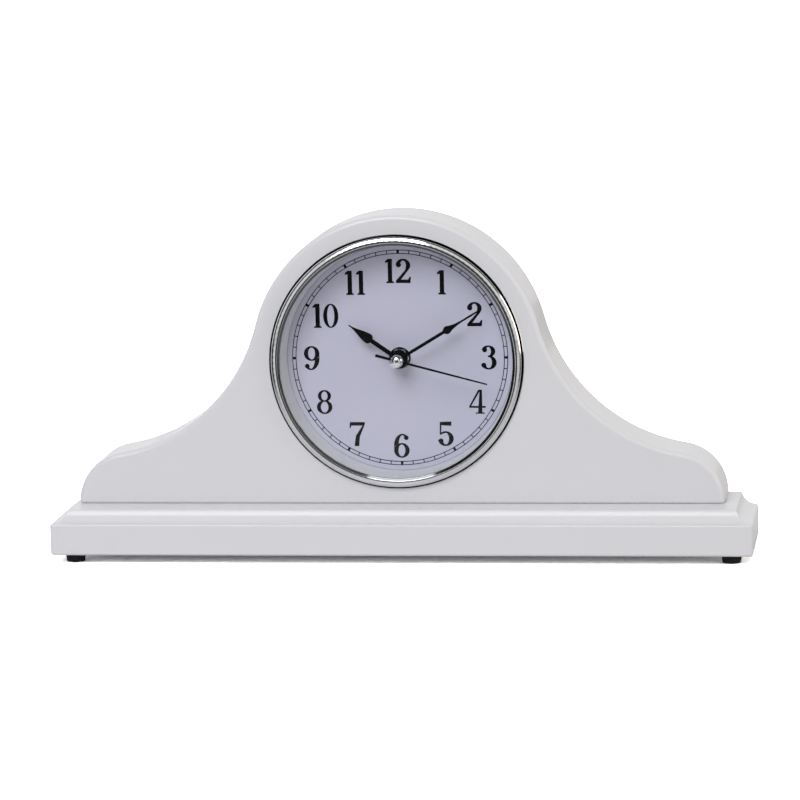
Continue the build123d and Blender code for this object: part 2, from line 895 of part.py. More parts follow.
def figure_seven(x, z):
    """A flag over a stem that narrows towards the top."""
    stroke(
        [
            (x - 4.4, z + half_high),
            (x + 4.6, z + half_high),
            (x + 4.6, z + half_high - 1.2),
            (x + 3.4, z + half_high - 2.1),
            (x - 3.6, z + half_high - 2.1),
            (x - 4.2, z + half_high - 3.7),
            (x - 4.8, z + half_high - 3.7),
        ]
    )
    stroke(
        [
            (x + 4.6, z + half_high - 1.2),
            (x + 3.5, z + half_high - 1.6),
            (x - 1.0, z - 1.0),
            (x - 1.9, z - half_high),
            (x + 0.9, z - half_high),
            (x + 1.4, z - 1.6),
        ]
    )


def figure_eight(x, z):
    """Two closed bowls."""
    oval((x, z + half_high - 3.6), 4.0, 3.6, 2.1, 0.9)
    oval((x, z - half_high + 4.2), 4.7, 4.2, 2.4, 0.9)


def figure_nought(x, z):
    """One tall closed bowl."""
    oval((x, z), 4.6, half_high, 2.4, 0.8)


def figure_nine(x, z):
    """A six stood on its head."""
    figure_six(x, z, -1)


single_figures = {
    1: figure_one,
    2: figure_two,
    3: figure_three,
    4: figure_four,
    5: figure_five,
    6: figure_six,
    7: figure_seven,
    8: figure_eight,
    9: figure_nine,
}

with BuildPart() as numerals:
    for hour in range(1, 13):
        radius = upper_numeral_radius if hour in (11, 12, 1, 2) else numeral_radius
        radius = ten_radius if hour == 10 else radius
        x, z = polar(radius, 90 - hour * 30)
        figures = []
        if hour < 10:
            figures.append((single_figures[hour], x))
        if hour == 10:
            figures.append((figure_one, x - 5.0))
            figures.append((figure_nought, x + 3.0))
        if hour == 11:
            figures.append((figure_one, x - 3.1))
            figures.append((figure_one, x + 3.7))
        if hour == 12:
            figures.append((figure_one, x - 4.9))
            figures.append((figure_two, x + 3.0))
        for draw, place in figures:
            with BuildSketch(dial_plane(dial_front)):
                draw(place, z)
            extrude(amount=ink)
save(numerals, "numerals")

# The hands


def hand_plane(angle, y):
    """A sketch plane whose x runs along a hand, the angle counted clockwise from twelve."""
    along = (sin(radians(angle)), 0, cos(radians(angle)))
    return Plane(origin=(case_offset, y, clock_height), x_dir=along, z_dir=(0, -1, 0))


def spade_side(start, widest, neck, length, bar_half, side):
    """One side of a spade, from the bar out to the tip."""
    base = ThreePointArc(
        (start, side * bar_half),
        (start + (widest[0] - start) * 0.28, side * (bar_half + (widest[1] - bar_half) * 0.66)),
        (widest[0], side * widest[1]),
    )
    taper = Spline(
        base @ 1,
        (neck[0], side * neck[1]),
        (neck[0] + (length - neck[0]) * 0.45, side * (hand_tip_half + (neck[1] - hand_tip_half) * 0.3)),
        (length, side * hand_tip_half),
    )
    return base @ 0, taper @ 1


def spade_hand(angle, front, length, start, widest, neck, bar_half, hub, bore, pipe, pipe_length):
    """A flat hand: round hub, straight bar, spade, fine tip and a short pipe behind."""
    rear = front + hand_thickness
    with BuildSketch(hand_plane(angle, rear)) as bar:
        Circle(hub)
        with Locations((start / 2, 0)):
            Rectangle(start, 2 * bar_half)
    extrude(bar.sketch, amount=hand_thickness)
    with BuildSketch(hand_plane(angle, rear)) as spade:
        with BuildLine() as outline:
            upper_start, upper_end = spade_side(start, widest, neck, length, bar_half, 1)
            lower_start, lower_end = spade_side(start, widest, neck, length, bar_half, -1)
            Line(upper_start, lower_start)
            Line(upper_end, lower_end)
        make_face(outline.edges())
    extrude(spade.sketch, amount=hand_thickness)
    ring(pipe, bore, rear, rear + pipe_length)
    disc(bore, front - 1, rear + pipe_length + 1, mode=Mode.SUBTRACT)


with BuildPart() as hour_hand:
    spade_hand(
        hour_hand_angle,
        hour_hand_front,
        hour_hand_length,
        hour_spade_start,
        (hour_spade_radius, hour_spade_half),
        (hour_neck_radius, hour_neck_half),
        hour_bar_half,
        hour_hub_radius,
        hour_pipe + glue_gap,
        hour_hub_radius - 1.6,
        1.4,
    )
save(hour_hand, "hour_hand")

with BuildPart() as minute_hand:
    spade_hand(
        minute_hand_angle,
        minute_hand_front,
        minute_hand_length,
        minute_spade_start,
        (minute_spade_radius, minute_spade_half),
        (minute_neck_radius, minute_neck_half),
        minute_bar_half,
        minute_hub_radius,
        minute_pipe + glue_gap,
        minute_hub_radius - 1.5,
        1.6,
    )
save(minute_hand, "minute_hand")

with BuildPart() as second_hand:
    second_rear = second_hand_front + hand_thickness
    with BuildSketch(hand_plane(second_hand_angle, second_rear)):
        Circle(second_hub_radius)
        Polygon(
            (0, second_half),
            (second_hand_length, second_tip_half),
            (second_hand_length, -second_tip_half),
            (0, -second_half),
            align=None,
        )
        Polygon(
            (0, second_half),
            (-second_tail_length, 0.85),
            (-second_tail_length, -0.85),
            (0, -second_half),
            align=None,
        )
    extrude(amount=hand_thickness)
    disc(1.15, second_rear, second_rear + 2.6)
    disc(seconds_arbor + 0.02, second_rear - hand_thickness - 1, second_rear + 3, mode=Mode.SUBTRACT)
save(second_hand, "second_hand")

with BuildPart() as hand_cap:
    with BuildSketch(section):
        with BuildLine():
            cap_rear = second_hand_front
            dome = ThreePointArc(*dome_points(cap_radius, cap_rear - 0.8, cap_height - 0.8))
            Polyline(dome @ 0, (cap_radius, cap_rear), (0, cap_rear), dome @ 1)
        make_face()
    revolve(axis=hand_axis)
    disc(seconds_arbor + 0.02, cap_rear - 1.2, cap_rear + 1, mode=Mode.SUBTRACT)
save(hand_cap, "hand_cap")

with BuildPart() as dial_nut:
    nut_front = dial_front - dial_washer - nut_height
    disc(nut_radius - 1.0, nut_front, dial_front - dial_washer)
    with BuildSketch(dial_plane(dial_front - dial_washer)):
        RegularPolygon(nut_radius - 0.3, 6)
    extrude(amount=nut_height)
    disc(bush_radius + screw_clearance, nut_front - 1, dial_front, mode=Mode.SUBTRACT)
    chamfer(dial_nut.edges().filter_by(Plane.XZ).group_by(Axis.Y)[0].filter_by(GeomType.LINE), 0.4)
save(dial_nut, "dial_nut")

with BuildPart() as dial_washer_ring:
    ring(nut_radius + 0.4, bush_radius + screw_clearance, dial_front - dial_washer, dial_front)
save(dial_washer_ring, "dial_washer")

with BuildPart() as rubber_washer_ring:
    ring(11.0, bush_radius + screw_clearance, cup_rear, movement_front)
save(rubber_washer_ring, "rubber_washer")

# The movement

bush_front = nut_front - 0.8
bay_floor = -movement_half + movement_wall
third_arbor = 0.45
pivot = 0.3
post_radius = 0.75
mid_post_radius = 1.6
mid_posts = [(-20.5, -6.5), (20.5, -6.5), (-12.5, 16.0), (22.0, 16.0)]

with BuildPart() as movement_case:
    slab(-movement_half, movement_half, -movement_half, movement_half, movement_front, gear_rear)
    inner = movement_half - movement_wall
    slab(-inner, inner, bay_wall_top, inner, gear_front, gear_rear, mode=Mode.SUBTRACT)
    slab(
        -inner,
        inner,
        bay_floor,
        bay_wall_top - bay_wall,
        gear_front,
        gear_rear,
        mode=Mode.SUBTRACT,
    )
    disc(bush_radius, movement_front, gear_front, mode=Mode.SUBTRACT)
    disc(post_radius, gear_front, cannon_layer + 1.3, at=motion_at)
    for place in mid_posts:
        disc(mid_post_radius, gear_front, mid_plate, at=place)
    disc(1.3, gear_front, gear_front + 0.8, at=third_at)
    disc(pivot + running_clearance, gear_front - 0.8, gear_front + 1, at=third_at, mode=Mode.SUBTRACT)
    disc(1.6, gear_front, gear_front + 0.8, at=setting_at)
    disc(pivot + running_clearance, gear_front - 0.8, gear_front + 1, at=setting_at, mode=Mode.SUBTRACT)
save(movement_case, "movement_case")

with BuildPart() as threaded_bush:
    ring(bush_radius, hour_pipe + running_clearance, bush_front, gear_front)
    for number in range(5):
        groove = bush_front + 0.6 + number * 1.2
        with BuildSketch(dial_plane(groove + 0.4)):
            Circle(bush_radius + 1)
            Circle(bush_radius - 0.25, mode=Mode.SUBTRACT)
        extrude(amount=0.4, mode=Mode.SUBTRACT)
save(threaded_bush, "threaded_bush")

with BuildPart() as gear_plate:
    slab(-23.5, 24.5, -9.0, 18.6, mid_plate, mid_plate + mid_plate_thickness)
    plate_rear = mid_plate + mid_plate_thickness
    disc(1.75, mid_plate - 1, plate_rear + 1, mode=Mode.SUBTRACT)
    disc(pivot + running_clearance, mid_plate - 1, plate_rear + 1, at=third_at, mode=Mode.SUBTRACT)
    disc(1.0 + running_clearance, mid_plate - 1, plate_rear + 1, at=setting_at, mode=Mode.SUBTRACT)
    disc(pivot + running_clearance, mid_plate + 0.2, plate_rear + 1, at=intermediate_at, mode=Mode.SUBTRACT)
    disc(pivot + running_clearance, mid_plate + 0.2, plate_rear + 1, at=rotor_at, mode=Mode.SUBTRACT)
save(gear_plate, "gear_plate")

cover_front = gear_rear

with BuildPart() as movement_cover:
    slab(-movement_half, movement_half, bay_wall_top - bay_wall, movement_half, cover_front, movement_rear)
    for left, right in ((-movement_half, -movement_half + 3), (movement_half - 3, movement_half)):
        slab(left, right, -movement_half, bay_wall_top - bay_wall, cover_front, movement_rear)
    slab(-movement_half, movement_half, -movement_half, -movement_half + 1.5, cover_front, movement_rear)
    slab(-12, 12, 9.6, 15.4, movement_rear, movement_rear + 0.8)
    disc(1.0 + running_clearance, cover_front - 1, movement_rear + 1, at=setting_at, mode=Mode.SUBTRACT)
    for place in ((0, 0), intermediate_at, rotor_at):
        disc(pivot + running_clearance, cover_front - 1, cover_front + 0.9, at=place, mode=Mode.SUBTRACT)
    inner_rim = inner - drop_in_clearance
    for left, right in ((-inner_rim, -inner_rim + 1.2), (inner_rim - 1.2, inner_rim)):
        slab(left, right, -6.0, 5.0, cover_front - 1.2, cover_front)
save(movement_cover, "movement_cover")

with BuildPart() as hour_wheel:
    ring(hour_pipe, minute_pipe + running_clearance, hour_hand_front - 0.3, hour_layer + 1.2)
    hour_turn = 4.5
    toothed(hour_teeth, hour_module, hour_layer, hour_layer + 1.2, turn=hour_turn)
    disc(minute_pipe + running_clearance, hour_hand_front - 2, hour_layer + 3, mode=Mode.SUBTRACT)
save(hour_wheel, "hour_wheel")

cannon_turn = 0.0
motion_turn = mesh_turn(cannon_turn, cannon_teeth, motion_teeth, motion_angle)
setting_turn = mesh_turn(motion_turn, motion_teeth, setting_teeth, setting_angle)
motion_pinion_turn = mesh_turn(hour_turn, hour_teeth, motion_pinion_teeth, motion_angle)
centre_turn = 0.0
third_pinion_turn = mesh_turn(centre_turn, centre_teeth, third_pinion_teeth, third_angle)
seconds_pinion_turn = 0.0
third_turn = mesh_turn(seconds_pinion_turn, seconds_pinion_teeth, third_teeth, third_angle)
seconds_turn = 90.0
intermediate_pinion_turn = mesh_turn(seconds_turn, seconds_teeth, intermediate_pinion_teeth, 90.0)
intermediate_turn = 90.0
rotor_turn = mesh_turn(intermediate_turn, intermediate_teeth, rotor_teeth, 90.0)

with BuildPart() as centre_wheel:
    ring(minute_pipe, seconds_arbor + running_clearance, minute_hand_front - 0.3, centre_layer + 1.0)
    toothed(cannon_teeth, motion_module, cannon_layer, cannon_layer + 1.4, turn=cannon_turn)
    toothed(centre_teeth, centre_module, centre_layer, centre_layer + 1.0, turn=centre_turn)
    disc(
        seconds_arbor + running_clearance,
        minute_hand_front - 2,
        centre_layer + 3,
        mode=Mode.SUBTRACT,
    )
save(centre_wheel, "centre_wheel")

with BuildPart() as seconds_wheel:
    disc(seconds_arbor, second_hand_front - 0.9, seconds_layer + 1.0)
    toothed(
        seconds_pinion_teeth,
        middle_module,
        third_layer - 0.2,
        third_layer + 1.2,
        turn=seconds_pinion_turn,
    )
    disc(0.8, third_layer + 1.2, seconds_layer)
    toothed(seconds_teeth, middle_module, seconds_layer, seconds_layer + 0.8, turn=seconds_turn)
    disc(pivot, seconds_layer + 1.0, gear_rear + 0.7)
save(seconds_wheel, "seconds_wheel")

with BuildPart() as third_wheel:
    disc(third_arbor, gear_front + 1.0, mid_plate - 0.2, at=third_at)
    disc(pivot, gear_front - 0.6, mid_plate + 0.9, at=third_at)
    toothed(
        third_pinion_teeth,
        centre_module,
        centre_layer - 0.2,
        centre_layer + 1.2,
        at=third_at,
        turn=third_pinion_turn,
    )
    toothed(third_teeth, middle_module, third_layer, third_layer + 1.0, at=third_at, turn=third_turn)
save(third_wheel, "third_wheel")

with BuildPart() as intermediate_wheel:
    disc(third_arbor, plate_rear + 0.2, gear_rear - 0.2, at=intermediate_at)
    disc(pivot, plate_rear - 0.6, gear_rear + 0.7, at=intermediate_at)
    toothed(
        intermediate_pinion_teeth,
        middle_module,
        seconds_layer - 0.1,
        seconds_layer + 0.9,
        at=intermediate_at,
        turn=intermediate_pinion_turn,
    )
    toothed(
        intermediate_teeth,
        fine_module,
        rotor_layer,
        rotor_layer + 0.8,
        at=intermediate_at,
        turn=intermediate_turn,
    )
save(intermediate_wheel, "intermediate_wheel")

magnet_radius = 2.5
magnet_depth = 1.1

with BuildPart() as rotor_pinion:
    disc(third_arbor, plate_rear + 0.2, gear_rear - 0.2, at=rotor_at)
    disc(pivot, plate_rear - 0.6, gear_rear + 0.7, at=rotor_at)
    toothed(rotor_teeth, fine_module, rotor_layer - 0.1, rotor_layer + 1.0, at=rotor_at, turn=rotor_turn)
save(rotor_pinion, "rotor_pinion")

with BuildPart() as rotor_magnet:
    ring(
        magnet_radius,
        third_arbor + 0.02,
        seconds_layer - 0.1,
        seconds_layer - 0.1 + magnet_depth,
        at=rotor_at,
    )
save(rotor_magnet, "rotor_magnet")

stator_front = seconds_layer
stator_rear = seconds_layer + 0.8
coil_height = 22.6

with BuildPart() as stator:
    slab(-14, 14, 10.2, 18.2, stator_front, stator_rear)
    for left, right in ((-14, -9.8), (9.8, 14)):
        slab(left, right, 18.2, coil_height + 1.2, stator_front, stator_rear)
    slab(-14, 14, coil_height - 1.2, coil_height + 1.2, stator_front, stator_rear)
    disc(magnet_radius + 0.45, stator_front - 1, stator_rear + 1, at=rotor_at, mode=Mode.SUBTRACT)
    slab(-0.2, 0.2, 16.0, 18.4, stator_front - 1, stator_rear + 1, mode=Mode.SUBTRACT)
save(stator, "stator")

coil_axis_y = (stator_front + stator_rear) / 2
bobbin_half = 8.6


def coil_tube(outer, from_x, to_x):
    """A rod about the stator's bar."""
    start = (case_offset + from_x, coil_axis_y, clock_height + coil_height)
    with BuildSketch(Plane(origin=start, x_dir=(0, 1, 0), z_dir=(1, 0, 0))) as face:
        Circle(outer)
    extrude(face.sketch, amount=to_x - from_x)


with BuildPart() as coil_bobbin:
    coil_tube(1.7, -bobbin_half, bobbin_half)
    coil_tube(2.75, -bobbin_half - 0.7, -bobbin_half)
    coil_tube(2.75, bobbin_half, bobbin_half + 0.7)
    slab(
        -bobbin_half - 1,
        bobbin_half + 1,
        coil_height - 1.25,
        coil_height + 1.25,
        stator_front - 0.05,
        stator_rear + 0.05,
        mode=Mode.SUBTRACT,
    )
save(coil_bobbin, "coil_bobbin")

with BuildPart() as coil_winding:
    coil_tube(2.55, -bobbin_half + 0.1, bobbin_half - 0.1)
    start = (case_offset - bobbin_half, coil_axis_y, clock_height + coil_height)
    with BuildSketch(Plane(origin=start, x_dir=(0, 1, 0), z_dir=(1, 0, 0))):
        Circle(1.75)
    extrude(amount=2 * bobbin_half, mode=Mode.SUBTRACT)
save(coil_winding, "coil_winding")

with BuildPart() as circuit_board:
    slab(-26.0, -16.6, 7.0, 25.6, plate_rear + 0.4, plate_rear + 1.2)
    disc(2.4, plate_rear + 1.2, plate_rear + 2.2, at=(-21.5, 18.5))
save(circuit_board, "circuit_board")

with BuildPart() as quartz_crystal:
    with BuildSketch(
        Plane(
            origin=(case_offset - 21.5, plate_rear + 2.3, clock_height + 8.4),
            x_dir=(1, 0, 0),
            z_dir=(0, 0, 1),
        )
    ):
        Circle(1.0)
    extrude(amount=6.0)
save(quartz_crystal, "quartz_crystal")

with BuildPart() as motion_wheel:
    disc(1.3, hour_layer - 0.1, cannon_layer + 1.2, at=motion_at)
    toothed(
        motion_pinion_teeth,
        hour_module,
        hour_layer - 0.1,
        hour_layer + 1.4,
        at=motion_at,
        turn=motion_pinion_turn,
    )
    toothed(motion_teeth, motion_module, cannon_layer, cannon_layer + 1.0, at=motion_at, turn=motion_turn)
    disc(
        post_radius + running_clearance,
        hour_layer - 2,
        cannon_layer + 3,
        at=motion_at,
        mode=Mode.SUBTRACT,
    )
save(motion_wheel, "motion_wheel")

knob_radius = 4.6
knob_front = movement_rear + 0.4
knob_height = 3.0

with BuildPart() as set_knob:
    disc(1.0, cannon_layer + 1.2, knob_front, at=setting_at)
    disc(pivot, gear_front - 0.6, cannon_layer, at=setting_at)
    toothed(
        setting_teeth,
        motion_module,
        cannon_layer - 0.2,
        cannon_layer + 1.2,
        at=setting_at,
        turn=setting_turn,
    )
    disc(knob_radius, knob_front, knob_front + knob_height, at=setting_at)
    for number in range(18):
        notch = polar(knob_radius, number * 20)
        disc(
            0.35,
            knob_front - 0.1,
            knob_front + knob_height + 0.1,
            at=(setting_at[0] + notch[0], setting_at[1] + notch[1]),
            mode=Mode.SUBTRACT,
        )
save(set_knob, "set_knob")

battery_axis_y = gear_front + 0.3 + battery_radius

with BuildPart() as battery:
    ends = Plane(
        origin=(case_offset - battery_length / 2, battery_axis_y, clock_height + battery_height),
        x_dir=(0, 1, 0),
        z_dir=(1, 0, 0),
    )
    with BuildSketch(ends):
        Circle(battery_radius)
    extrude(amount=battery_length - 1.2)
    fillet(battery.edges().filter_by(GeomType.CIRCLE), 0.5)
    with BuildSketch(ends.offset(battery_length - 1.2)):
        Circle(2.7)
    extrude(amount=1.2)
save(battery, "battery")

contact_metal = 0.4
contact_x = inner - 0.15
contact_front = battery_axis_y - 4.5
contact_rear = battery_axis_y + 4.5

with BuildPart() as battery_contact_positive:
    slab(contact_x - contact_metal, contact_x, -24.0, -13.0, contact_front, contact_rear)
save(battery_contact_positive, "battery_contact_positive")

with BuildPart() as battery_contact_negative:
    slab(-contact_x, -contact_x + contact_metal, -24.0, -13.0, contact_front, contact_rear)
    slab(-contact_x + contact_metal, -contact_x + 1.1, -20.2, -17.0, contact_front + 3, contact_rear - 3)
save(battery_contact_negative, "battery_contact_negative")
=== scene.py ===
"""Looks of the white tambour table clock: its finishes, the stage and the camera.

Metres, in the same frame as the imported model. The dial faces -Y.
"""

from math import cos, radians, sin

import bpy
from mathutils import Matrix, Vector


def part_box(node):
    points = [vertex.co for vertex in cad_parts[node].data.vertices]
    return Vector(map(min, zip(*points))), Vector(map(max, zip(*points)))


bl_info = {
    "name": "Tambour table clock",
    "version": (1, 0, 0),
    "blender": (4, 5, 0),
    "location": "View3D > Sidebar > Clock",
    "description": "Finishes and stage for a white tambour table clock",
    "category": "Object",
}

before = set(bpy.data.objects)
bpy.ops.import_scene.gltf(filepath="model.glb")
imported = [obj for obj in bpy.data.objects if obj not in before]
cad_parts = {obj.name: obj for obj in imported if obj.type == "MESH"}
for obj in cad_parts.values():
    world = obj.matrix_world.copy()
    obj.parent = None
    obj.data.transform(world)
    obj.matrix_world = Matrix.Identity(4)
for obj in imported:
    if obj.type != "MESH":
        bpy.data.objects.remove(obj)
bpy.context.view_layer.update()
millimetre = 0.001


def linear(colour):
    """An sRGB hex colour as linear red, green, blue and alpha."""
    parts = [int(colour[place : place + 2], 16) / 255 for place in (1, 3, 5)]
    curved = [part / 12.92 if part <= 0.04045 else ((part + 0.055) / 1.055) ** 2.4 for part in parts]
    return (*curved, 1.0)


def node(tree, kind, settings=None, links=None):
    """Add one node, set its own settings and sockets, and link its inputs."""
    made = tree.nodes.new(kind)
    for name, value in (settings or {}).items():
        if isinstance(name, int) or name in made.inputs:
            made.inputs[name].default_value = value
        else:
            setattr(made, name, value)
    for name, source in (links or {}).items():
        tree.links.new(source, made.inputs[name])
    return made


def scale_for(size_mm):
    """The noise scale that gives features of this size on Object coordinates."""
    return 1 / (size_mm * millimetre)


def start_material(name):
    """An empty node material with its output and Object coordinates."""
    material = bpy.data.materials.new(name)
    material.use_nodes = True
    tree = material.node_tree
    tree.nodes.clear()
    output = node(tree, "ShaderNodeOutputMaterial")
    place = node(tree, "ShaderNodeTexCoord").outputs["Object"]
    return material, tree, output, place


def speckled_colour(tree, place, size_mm, low, high, detail=3.0):
    """A colour that drifts between two near shades over patches of this size."""
    noise = node(
        tree,
        "ShaderNodeTexNoise",
        {"Scale": scale_for(size_mm), "Detail": detail, "Roughness": 0.55},
        {"Vector": place},
    )
    ramp = node(tree, "ShaderNodeValToRGB", None, {"Fac": noise.outputs["Fac"]})
    ramp.color_ramp.interpolation = "B_SPLINE"
    ramp.color_ramp.elements[0].position = 0.2
    ramp.color_ramp.elements[0].color = linear(low)
    ramp.color_ramp.elements[1].position = 0.8
    ramp.color_ramp.elements[1].color = linear(high)
    return ramp.outputs["Color"]


def spread(tree, place, size_mm, low, high, detail=2.0):
    """A number that drifts between two values over patches of this size."""
    noise = node(
        tree,
        "ShaderNodeTexNoise",
        {"Scale": scale_for(size_mm), "Detail": detail},
        {"Vector": place},
    )
    ranged = node(
        tree,
        "ShaderNodeMapRange",
        {"From Min": 0.2, "From Max": 0.8, "To Min": low, "To Max": high},
        {"Value": noise.outputs["Fac"]},
    )
    return ranged.outputs["Result"]


def grain_bump(tree, place, size_mm, height_mm, detail=2.0):
    """A fine relief with bumps of this size and height."""
    noise = node(
        tree,
        "ShaderNodeTexNoise",
        {"Scale": scale_for(size_mm), "Detail": detail},
        {"Vector": place},
    )
    bump = node(
        tree,
        "ShaderNodeBump",
        {"Strength": 1.0, "Distance": height_mm * millimetre},
        {"Height": noise.outputs["Fac"]},
    )
    return bump.outputs["Normal"]


def finished(name, settings, low, high, patch_mm, rough, grain_mm, relief_mm):
    """A material with drifting colour, drifting roughness and a fine relief."""
    material, tree, output, place = start_material(name)
    shader = node(
        tree,
        "ShaderNodeBsdfPrincipled",
        settings,
        {
            "Base Color": speckled_colour(tree, place, patch_mm, low, high),
            "Roughness": spread(tree, place, patch_mm * 0.6, rough[0], rough[1]),
            "Normal": grain_bump(tree, place, grain_mm, relief_mm),
        },
    )
    tree.links.new(shader.outputs["BSDF"], output.inputs["Surface"])
    return material


def dress(names, material):
    """Give CAD nodes a material in their own slots."""
    for name in names:
        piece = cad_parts[name]
        if not piece.material_slots:
            piece.data.materials.append(material)
        for slot in piece.material_slots:
            slot.material = material


class ClockSizes(bpy.types.PropertyGroup):
    """Sizes of the finishes that a user would change."""

    peel_size: bpy.props.FloatProperty(
        name="Lacquer ripple",
        description="Width of the soft ripple in the sprayed lacquer, in millimetres",
        default=14.0,
        min=1.0,
    )
    peel_height: bpy.props.FloatProperty(
        name="Lacquer ripple height",
        description="Height of the ripple in the sprayed lacquer, in millimetres",
        default=0.0015,
        min=0.0,
    )
    lens_length: bpy.props.FloatProperty(
        name="Camera lens",
        description="Focal length of the camera, in millimetres",
        default=202.5,
        min=20.0,
    )


class ClockColours(bpy.types.PropertyGroup):
    """Colours of the finishes that a user would change, as sRGB hex."""

    lacquer: bpy.props.StringProperty(
        name="Lacquer",
        description="Body colour of the sprayed lacquer",
        default="#DEDEE1",
    )
    dial: bpy.props.StringProperty(
        name="Dial",
        description="Ground colour of the printed dial",
        default="#D0CEE1",
    )
    ink: bpy.props.StringProperty(
        name="Ink",
        description="Colour of the printed numbers and the enamelled hands",
        default="#050507",
    )


class CLOCK_OT_lacquer(bpy.types.Operator):
    """Spray the base, the front panel and the bent skin with white lacquer"""

    bl_idname = "clock.lacquer"
    bl_label = "White lacquer"

    def execute(self, context):
        sizes = context.scene.clock_sizes
        colours = context.scene.clock_colours
        material, tree, output, place = start_material("sprayed_polyester_lacquer")
        # Thick polished lacquer over fibreboard: a deep even white under a clear gloss, with a soft
        # ripple that bends long reflections a little.
        shader = node(
            tree,
            "ShaderNodeBsdfPrincipled",
            {
                "IOR": 1.5,
                "Specular IOR Level": 0.35,
                "Coat Weight": 0.25,
                "Coat Roughness": 0.08,
                "Coat IOR": 1.5,
            },
            {
                "Base Color": speckled_colour(tree, place, 70.0, colours.lacquer, "#DFDFE2", 1.0),
                "Roughness": spread(tree, place, 40.0, 0.32, 0.38, 1.0),
                "Normal": grain_bump(tree, place, sizes.peel_size, sizes.peel_height),
            },
        )
        tree.links.new(shader.outputs["BSDF"], output.inputs["Surface"])
        dress(["base_board", "case_front", "case_skin"], material)
        return {"FINISHED"}


class CLOCK_OT_back_and_inside(bpy.types.Operator):
    """Paint the back panel and leave the inner board raw"""

    bl_idname = "clock.back_and_inside"
    bl_label = "Back panel and inner board"

    def execute(self, context):
        # Thin sprayed primer and paint over fibreboard: satin, with a faint dusty grain.
        back = finished(
            "satin_paint_on_fibreboard",
            {"IOR": 1.5},
            "#D3D3D3",
            "#DADAD9",
            30.0,
            (0.42, 0.55),
            0.8,
            0.01,
        )
        dress(["case_back"], back)
        # Raw medium density fibreboard: warm brown, matt, with short felted fibres.
        board = finished(
            "raw_fibreboard",
            {"IOR": 1.45},
            "#A98A63",
            "#B99B72",
            3.0,
            (0.85, 0.95),
            0.7,
            0.04,
        )
        dress(["case_floor", "glue_blocks"], board)
        return {"FINISHED"}


class CLOCK_OT_feet(bpy.types.Operator):
    """Mould the feet in black rubber"""

    bl_idname = "clock.feet"
    bl_label = "Rubber feet"

    def execute(self, context):
        # Moulded rubber: near black, matt, with a dusty bloom.
        rubber = finished(
            "moulded_rubber",
            {"IOR": 1.52, "Specular IOR Level": 0.35},
            "#08080A",
            "#0E0E10",
            2.0,
            (0.6, 0.8),
            0.4,
            0.02,
        )
        dress(
            ["foot_front_left", "foot_front_right", "foot_rear_left", "foot_rear_right", "rubber_washer"],
            rubber,
        )
        return {"FINISHED"}


def set_stops(ramp, stops):
    """Give a colour ramp its places and grey levels."""
    while len(ramp.elements) < len(stops):
        ramp.elements.new(0.5)
    for element, (place, tone) in zip(ramp.elements, stops):
        element.position = place
        element.color = (tone, tone, tone, 1.0)


# Painted shade on the chrome of the bezel, from its inner lip to its outer rim: 1 leaves the plate as it
# is, low values paint shade into the outer groove and a dark reflection onto the inner bevel
bezel_width = 6.6 * millimetre
painted_groove_shade_stops = (
    (0.0, 0.5),
    (0.06, 0.14),
    (0.2, 0.14),
    (0.27, 1.0),
    (0.78, 1.0),
    (0.82, 0.08),
    (0.93, 0.08),
    (0.96, 0.9),
)


def polished_metal(name, low, high, rough, grain_mm, relief_mm):
    """A bare metal with fine polishing marks."""
    return finished(name, {"Metallic": 1.0}, low, high, 12.0, rough, grain_mm, relief_mm)


class CLOCK_OT_bezel(bpy.types.Operator):
    """Plate the bezel, the dial nut and the cap in bright chrome"""

    bl_idname = "clock.bezel"
    bl_label = "Chrome bezel"

    def execute(self, context):
        # Bright chrome plate: a cool mirror that is soft only where a cloth has hazed it.
        chrome = polished_metal("bright_chrome_plate", "#D9DADD", "#E2E3E6", (0.08, 0.12), 6.0, 0.0005)
        dress(["dial_nut", "dial_washer", "hand_cap"], chrome)

        # The same plate on the bezel, with painted shade as a dark line in the outer groove and a painted
        # dark reflection
        # as a dark band on the inner bevel: the plate looks drawn round with a fine pen.
        material, tree, output, place = start_material("chrome_plate_with_painted_shade")
        low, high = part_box("bezel")
        middle = (low + high) / 2
        from_axis = node(
            tree,
            "ShaderNodeVectorMath",
            {"operation": "SUBTRACT", 1: (middle.x, 0.0, middle.z)},
            {0: place},
        )
        flat = node(
            tree,
            "ShaderNodeVectorMath",
            {"operation": "MULTIPLY", 1: (1.0, 0.0, 1.0)},
            {0: from_axis.outputs["Vector"]},
        )
        radius = node(
            tree,
            "ShaderNodeVectorMath",
            {"operation": "LENGTH"},
            {0: flat.outputs["Vector"]},
        )
        rim = (high.x - low.x) / 2
        across = node(
            tree,
            "ShaderNodeMapRange",
            {"From Min": rim - bezel_width, "From Max": rim},
            {"Value": radius.outputs["Value"]},
        )
        # Painted shade and dark reflection: a ramp by distance from the hand axis darkens the plate in
        # two rings
        painted_shade = node(tree, "ShaderNodeValToRGB", None, {"Fac": across.outputs["Result"]})
        set_stops(painted_shade.color_ramp, painted_groove_shade_stops)
        plate = speckled_colour(tree, place, 12.0, "#D9DADD", "#E2E3E6")
        plate_with_painted_shade = node(
            tree,
            "ShaderNodeMix",
            {"data_type": "RGBA", "blend_type": "MULTIPLY", "Factor": 1.0},
        )
        tree.links.new(plate, plate_with_painted_shade.inputs[6])
        tree.links.new(painted_shade.outputs["Color"], plate_with_painted_shade.inputs[7])
        shader = node(
            tree,
            "ShaderNodeBsdfPrincipled",
            {"Metallic": 1.0},
            {
                "Base Color": plate_with_painted_shade.outputs[2],
                "Roughness": spread(tree, place, 7.0, 0.08, 0.12),
                "Normal": grain_bump(tree, place, 6.0, 0.0005),
            },
        )
        tree.links.new(shader.outputs["BSDF"], output.inputs["Surface"])
        dress(["bezel"], material)
        return {"FINISHED"}


